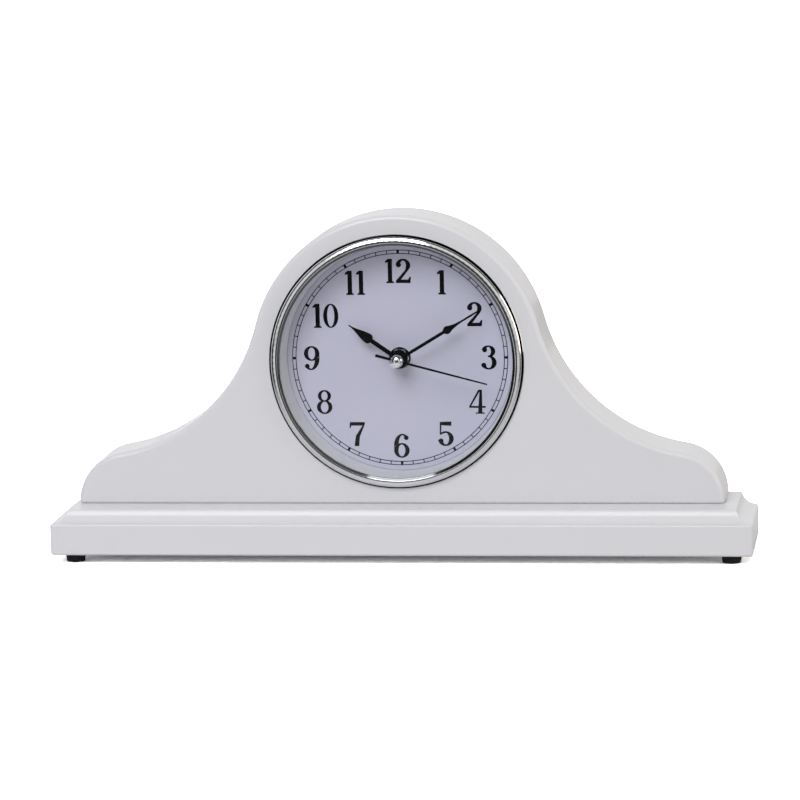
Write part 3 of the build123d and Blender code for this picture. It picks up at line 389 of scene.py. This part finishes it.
class CLOCK_OT_lens(bpy.types.Operator):
    """Glaze the dial with clear domed glass"""

    bl_idname = "clock.lens"
    bl_label = "Domed glass"

    def execute(self, context):
        # Thin pressed glass: it takes no light from the dial and bends nothing, and shows itself only
        # by the soft mirror of its dome, stronger towards the rim.
        material, tree, output, place = start_material("thin_domed_glass")
        clear = node(tree, "ShaderNodeBsdfTransparent", {"Color": linear("#FCFDFD")})
        mirror = node(
            tree,
            "ShaderNodeBsdfGlossy",
            {"Color": linear("#FFFFFF")},
            {"Roughness": spread(tree, place, 20.0, 0.01, 0.03)},
        )
        facing = node(tree, "ShaderNodeFresnel", {"IOR": 1.4})
        inner = node(tree, "ShaderNodeNewGeometry").outputs["Backfacing"]
        outer_only = node(
            tree,
            "ShaderNodeMath",
            {"operation": "SUBTRACT", "use_clamp": True},
            {0: facing.outputs["Fac"], 1: inner},
        )
        mixed = node(tree, "ShaderNodeMixShader", None, {"Fac": outer_only.outputs["Value"]})
        tree.links.new(clear.outputs["BSDF"], mixed.inputs[1])
        tree.links.new(mirror.outputs["BSDF"], mixed.inputs[2])
        tree.links.new(mixed.outputs["Shader"], output.inputs["Surface"])
        dress(["lens"], material)
        return {"FINISHED"}


class CLOCK_OT_dial(bpy.types.Operator):
    """Print the dial, its numbers and its minute track"""

    bl_idname = "clock.dial"
    bl_label = "Printed dial"

    def execute(self, context):
        colours = context.scene.clock_colours
        # Painted metal dial: an even pale violet grey with the tooth of a matt spray.
        ground = finished(
            "matt_dial_paint",
            {"IOR": 1.5, "Specular IOR Level": 0.3},
            colours.dial,
            "#D2CFE2",
            25.0,
            (0.55, 0.65),
            0.5,
            0.002,
        )
        dress(["dial"], ground)
        # Screen printed ink: black, a little glossier than its ground, thin at its edges.
        ink = finished(
            "screen_printed_ink",
            {"IOR": 1.5, "Specular IOR Level": 0.08},
            colours.ink,
            "#0B0B0E",
            0.9,
            (0.55, 0.7),
            0.5,
            0.003,
        )
        dress(["numerals", "minute_track"], ink)
        # Gloss styrene pan: a clean white wall with the soft shine of a polished mould.
        pan = finished(
            "gloss_styrene",
            {"IOR": 1.59},
            "#D8D8DA",
            "#DEDEE0",
            15.0,
            (0.16, 0.24),
            3.0,
            0.004,
        )
        dress(["dial_cup"], pan)
        return {"FINISHED"}


class CLOCK_OT_hands(bpy.types.Operator):
    """Enamel the three hands in black"""

    bl_idname = "clock.hands"
    bl_label = "Black hands"

    def execute(self, context):
        colours = context.scene.clock_colours
        # Baked enamel on stamped metal: black, semi gloss, with a fine spray texture.
        enamel = finished(
            "baked_black_enamel",
            {"IOR": 1.5, "Specular IOR Level": 0.12},
            colours.ink,
            "#08080B",
            4.0,
            (0.35, 0.45),
            0.4,
            0.002,
        )
        dress(["hour_hand", "minute_hand", "second_hand"], enamel)
        return {"FINISHED"}


class CLOCK_OT_hardware(bpy.types.Operator):
    """Plate the screws and the clips in zinc"""

    bl_idname = "clock.hardware"
    bl_label = "Screws and clips"

    def execute(self, context):
        # Zinc plated steel: grey metal with a cloudy bluish passivation.
        zinc = polished_metal("zinc_plated_steel", "#A9ACB0", "#BFC1C4", (0.28, 0.42), 0.8, 0.004)
        dress(["base_screws", "back_screws", "foot_screws", "retaining_clips", "clip_screws"], zinc)
        # Turned brass: warm metal with fine lathe haze.
        brass = polished_metal("turned_brass", "#C9A35A", "#D8B56C", (0.22, 0.34), 0.5, 0.004)
        dress(["threaded_bush"], brass)
        return {"FINISHED"}


class CLOCK_OT_movement(bpy.types.Operator):
    """Finish the movement's case, wheels, coil and electrics"""

    bl_idname = "clock.movement"
    bl_label = "Movement"

    def execute(self, context):
        # Spark eroded ABS moulding: black with an even fine grain.
        abs_black = finished(
            "eroded_black_abs",
            {"IOR": 1.53, "Specular IOR Level": 0.4},
            "#18181A",
            "#212123",
            5.0,
            (0.5, 0.65),
            0.45,
            0.03,
        )
        dress(["movement_case", "movement_cover", "set_knob"], abs_black)
        # Moulded acetal: milky off white, waxy, with faint flow marks.
        acetal = finished(
            "moulded_acetal",
            {"IOR": 1.48, "Subsurface Weight": 0.1, "Subsurface Radius": (0.001, 0.001, 0.0008)},
            "#DAD5C6",
            "#E4E0D3",
            4.0,
            (0.35, 0.5),
            0.6,
            0.004,
        )
        wheels = ["hour_wheel", "centre_wheel", "seconds_wheel", "third_wheel", "intermediate_wheel"]
        dress(wheels + ["rotor_pinion", "motion_wheel", "gear_plate", "coil_bobbin"], acetal)
        # Sintered magnet: dark grey, finely porous.
        magnet = polished_metal("sintered_magnet", "#4A4A4D", "#5A5A5E", (0.5, 0.65), 0.3, 0.01)
        dress(["rotor_magnet"], magnet)
        # Stamped soft iron: dull grey with rolling haze.
        iron = polished_metal("stamped_soft_iron", "#86878A", "#979899", (0.38, 0.5), 0.6, 0.005)
        dress(["stator"], iron)
        # Nickel plated strip: warm bright metal, lightly brushed.
        nickel = polished_metal("nickel_plated_strip", "#BDB9AE", "#CCC8BE", (0.2, 0.3), 0.5, 0.003)
        dress(["battery_contact_positive", "battery_contact_negative", "quartz_crystal"], nickel)
        # Solder resist over glass cloth: green, semi gloss, with the weave just felt.
        resist = finished(
            "green_solder_resist",
            {"IOR": 1.5},
            "#1E5B37",
            "#27683F",
            2.0,
            (0.3, 0.42),
            0.4,
            0.01,
        )
        dress(["circuit_board"], resist)
        return {"FINISHED"}


class CLOCK_OT_coil(bpy.types.Operator):
    """Wind the coil in enamelled copper wire"""

    bl_idname = "clock.coil"
    bl_label = "Copper winding"

    def execute(self, context):
        # Enamelled copper wire: red brown metal in close turns. The real turns are 0.05 mm apart,
        # drawn here 0.35 mm apart so that they show.
        material, tree, output, place = start_material("enamelled_copper_wire")
        turns = node(
            tree,
            "ShaderNodeTexWave",
            {"Scale": scale_for(0.35) / 20, "Distortion": 0.3, "bands_direction": "X"},
            {"Vector": place},
        )
        bump = node(
            tree,
            "ShaderNodeBump",
            {"Strength": 0.8, "Distance": 0.08 * millimetre},
            {"Height": turns.outputs["Fac"]},
        )
        shader = node(
            tree,
            "ShaderNodeBsdfPrincipled",
            {"Metallic": 1.0, "Roughness": 0.32},
            {
                "Base Color": speckled_colour(tree, place, 0.8, "#A85A32", "#B96A3E"),
                "Normal": bump.outputs["Normal"],
            },
        )
        tree.links.new(shader.outputs["BSDF"], output.inputs["Surface"])
        dress(["coil_winding"], material)
        return {"FINISHED"}


class CLOCK_OT_battery(bpy.types.Operator):
    """Sleeve the battery in a plain two tone film with bare ends"""

    bl_idname = "clock.battery"
    bl_label = "Battery"

    def execute(self, context):
        material, tree, output, place = start_material("printed_battery_sleeve")
        low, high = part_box("battery")
        # Shrink film over a steel can: black with a silver grey band at the positive end, bare
        # nickel on both end faces.
        axis = node(tree, "ShaderNodeSeparateXYZ", None, {"Vector": place}).outputs["X"]
        length = high.x - low.x
        band = node(
            tree,
            "ShaderNodeMath",
            {"operation": "GREATER_THAN", 1: low.x + length * 0.74},
            {0: axis},
        )
        film = node(tree, "ShaderNodeMix", {"data_type": "RGBA"}, {"Factor": band.outputs["Value"]})
        tree.links.new(speckled_colour(tree, place, 6.0, "#1A1B1E", "#232428"), film.inputs[6])
        tree.links.new(speckled_colour(tree, place, 6.0, "#8E9297", "#9A9DA2"), film.inputs[7])
        shader = node(
            tree,
            "ShaderNodeBsdfPrincipled",
            {"IOR": 1.5, "Metallic": 0.3},
            {
                "Base Color": film.outputs[2],
                "Roughness": spread(tree, place, 4.0, 0.25, 0.35),
                "Normal": grain_bump(tree, place, 1.5, 0.003),
            },
        )
        tree.links.new(shader.outputs["BSDF"], output.inputs["Surface"])
        dress(["battery"], material)
        return {"FINISHED"}


# Plain studio light: brightness as linear values, lamp power in watts
shown_floor = 3.2
# What a mirror finds, from straight in front (0) to straight behind (1)
room_dim = 0.06
room_stops = (
    (0.025, room_dim),
    (0.07, 0.85),
    (0.19, 0.75),
    (0.24, room_dim),
    (0.45, room_dim),
    (0.51, 1.0),
)
soft_light = "#999999"
key_place = (-0.52, -1.93, 1.91)
key_power = 43.0
fill_place = (2.2, -0.4, 0.6)
fill_power = 14.0
rear_place = (-1.8, 1.8, 0.55)
rear_power = 15.0

# The photograph's view, fitted on an 800 by 800 picture
camera_aim = Vector((-1.34, -2.52, 94.02)) * millimetre
camera_distance = 2690.0 * millimetre
camera_yaw = radians(7.44)
camera_rise = radians(8.52)
camera_roll = radians(-1.23)


def soft_lamp(name, place, aim, size, power, colour):
    """A square area lamp that points at a place."""
    data = bpy.data.lights.new(name, "AREA")
    data.shape = "RECTANGLE"
    data.size = size[0]
    data.size_y = size[1]
    data.energy = power
    data.color = linear(colour)[:3]
    lamp = bpy.data.objects.new(name, data)
    bpy.context.scene.collection.objects.link(lamp)
    lamp.location = place
    lamp.rotation_euler = (Vector(aim) - Vector(place)).to_track_quat("-Z", "Y").to_euler()
    return lamp


def eye_path(tree):
    """Whether a ray is the camera's own, straight or through glass, and whether it is a reflection."""
    path = node(tree, "ShaderNodeLightPath")
    unlit = node(
        tree,
        "ShaderNodeMath",
        {"operation": "LESS_THAN", 1: 0.5},
        {0: path.outputs["Diffuse Depth"]},
    )
    shiny = node(
        tree,
        "ShaderNodeMath",
        {"operation": "GREATER_THAN", 1: 0.5},
        {0: path.outputs["Glossy Depth"]},
    )
    reflected = node(
        tree,
        "ShaderNodeMath",
        {"operation": "MULTIPLY"},
        {0: shiny.outputs["Value"], 1: unlit.outputs["Value"]},
    )
    direct = node(
        tree,
        "ShaderNodeMath",
        {"operation": "SUBTRACT", "use_clamp": True},
        {0: unlit.outputs["Value"], 1: shiny.outputs["Value"]},
    )
    return direct.outputs["Value"], reflected.outputs["Value"]


def studio_room(tree, direction):
    """What a mirror finds by direction: camera gap, lamps in front, dark sides, white backdrop."""
    depth = node(tree, "ShaderNodeSeparateXYZ", None, {"Vector": direction}).outputs["Y"]
    along = node(tree, "ShaderNodeMapRange", {"From Min": -1.0, "From Max": 1.0}, {"Value": depth})
    room = node(tree, "ShaderNodeValToRGB", None, {"Fac": along.outputs["Result"]})
    set_stops(room.color_ramp, room_stops)
    return room.outputs["Color"]


class CLOCK_OT_stage(bpy.types.Operator):
    """Set the floor, the studio light and the camera"""

    bl_idname = "clock.stage"
    bl_label = "Stage"

    def execute(self, context):
        scene = context.scene
        bpy.ops.object.select_all(action="DESELECT")
        bpy.ops.mesh.primitive_plane_add(size=12.0, location=(0, 0, 0))
        floor = context.active_object
        floor.name = "floor"
        material, tree, output, place = start_material("white_sweep")
        # Paper that is pale near the object and falls into the room's shade away from it, and that
        # the eye sees white.
        distance = node(tree, "ShaderNodeVectorMath", {"operation": "LENGTH"}, {0: place})
        lit = node(
            tree,
            "ShaderNodeMapRange",
            {"From Min": 0.3, "From Max": 1.5, "To Min": 0.82, "To Max": 0.3},
            {"Value": distance.outputs["Value"]},
        )
        heading = node(tree, "ShaderNodeVectorMath", {"operation": "NORMALIZE"}, {0: place})
        ahead = node(tree, "ShaderNodeMapRange", {"From Min": 0.18, "From Max": 0.5}, None)
        tree.links.new(distance.outputs["Value"], ahead.inputs["Value"])
        mirrored = node(
            tree,
            "ShaderNodeMix",
            {"data_type": "RGBA"},
            {"Factor": ahead.outputs["Result"]},
        )
        mirrored.inputs[6].default_value = (0.8, 0.8, 0.8, 1.0)
        tree.links.new(studio_room(tree, heading.outputs["Vector"]), mirrored.inputs[7])
        seen, reflected = eye_path(tree)
        bounced = node(tree, "ShaderNodeMix", {"data_type": "RGBA"}, {"Factor": reflected})
        tree.links.new(lit.outputs["Result"], bounced.inputs[6])
        tree.links.new(mirrored.outputs[2], bounced.inputs[7])
        tone = node(tree, "ShaderNodeMix", {"data_type": "RGBA"}, {"Factor": seen})
        tree.links.new(bounced.outputs[2], tone.inputs[6])
        tone.inputs[7].default_value = (shown_floor, shown_floor, shown_floor, 1.0)
        paper = node(tree, "ShaderNodeBsdfDiffuse", None, {"Color": tone.outputs[2]})
        tree.links.new(paper.outputs["BSDF"], output.inputs["Surface"])
        floor.data.materials.append(material)

        world = bpy.data.worlds.new("studio")
        scene.world = world
        world.use_nodes = True
        sky = world.node_tree
        sky.nodes.clear()
        # Even soft light on everything, and to the eye, to metal and to glass a white backdrop behind
        # the object with a dim room in front of it.
        direction = node(sky, "ShaderNodeTexCoord").outputs["Generated"]
        seen, reflected = eye_path(sky)
        mirrored = node(sky, "ShaderNodeMath", {"operation": "ADD"}, {0: seen, 1: reflected})
        tone = node(
            sky,
            "ShaderNodeMix",
            {"data_type": "RGBA"},
            {"Factor": mirrored.outputs["Value"]},
        )
        tone.inputs[6].default_value = linear(soft_light)
        sky.links.new(studio_room(sky, direction), tone.inputs[7])
        light = node(sky, "ShaderNodeBackground", {"Strength": 1.0}, {"Color": tone.outputs[2]})
        shown = node(sky, "ShaderNodeOutputWorld")
        sky.links.new(light.outputs["Background"], shown.inputs["Surface"])

        middle = (0.0, 0.0, 0.11)
        soft_lamp("key", key_place, middle, (1.5, 1.5), key_power, "#FCFCFF")
        soft_lamp("fill", fill_place, middle, (1.2, 1.4), fill_power, "#FFF4E6")
        soft_lamp("rear", rear_place, middle, (1.2, 1.2), rear_power, "#FFFFFF")

        data = bpy.data.cameras.new("camera")
        data.lens = scene.clock_sizes.lens_length
        data.sensor_width = 36.0
        data.clip_start = 0.05
        data.clip_end = 50.0
        camera = bpy.data.objects.new("camera", data)
        scene.collection.objects.link(camera)
        back = Vector(
            (
                sin(camera_yaw) * cos(camera_rise),
                -cos(camera_yaw) * cos(camera_rise),
                sin(camera_rise),
            )
        )
        level = Vector((cos(camera_yaw), sin(camera_yaw), 0.0))
        upright = back.cross(level)
        across = level * cos(camera_roll) + upright * sin(camera_roll)
        along = upright * cos(camera_roll) - level * sin(camera_roll)
        turned = Matrix((across, along, back)).transposed()
        camera.matrix_world = Matrix.Translation(camera_aim + back * camera_distance) @ turned.to_4x4()
        scene.camera = camera
        scene.view_settings.view_transform = "Standard"
        return {"FINISHED"}


class CLOCK_PT_panel(bpy.types.Panel):
    """The clock's finishes and stage"""

    bl_idname = "CLOCK_PT_panel"
    bl_label = "Table clock"
    bl_space_type = "VIEW_3D"
    bl_region_type = "UI"
    bl_category = "Clock"

    def draw(self, context):
        for settings in (context.scene.clock_sizes, context.scene.clock_colours):
            for name in settings.__annotations__:
                self.layout.prop(settings, name)
        for step in steps:
            self.layout.operator(step.bl_idname)


steps = (
    CLOCK_OT_lacquer,
    CLOCK_OT_back_and_inside,
    CLOCK_OT_feet,
    CLOCK_OT_bezel,
    CLOCK_OT_lens,
    CLOCK_OT_dial,
    CLOCK_OT_hands,
    CLOCK_OT_hardware,
    CLOCK_OT_movement,
    CLOCK_OT_coil,
    CLOCK_OT_battery,
    CLOCK_OT_stage,
)
classes = (ClockSizes, ClockColours, *steps, CLOCK_PT_panel)


def register():
    """Add the settings, the operators and the panel."""
    for made in classes:
        bpy.utils.register_class(made)
    bpy.types.Scene.clock_sizes = bpy.props.PointerProperty(type=ClockSizes)
    bpy.types.Scene.clock_colours = bpy.props.PointerProperty(type=ClockColours)


def unregister():
    """Take the settings, the operators and the panel away."""
    del bpy.types.Scene.clock_colours
    del bpy.types.Scene.clock_sizes
    for made in reversed(classes):
        bpy.utils.unregister_class(made)


def main():
    """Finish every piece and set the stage."""
    register()
    for step in steps:
        group, name = step.bl_idname.split(".")
        getattr(getattr(bpy.ops, group), name)()


if __name__ == "__main__":
    main()
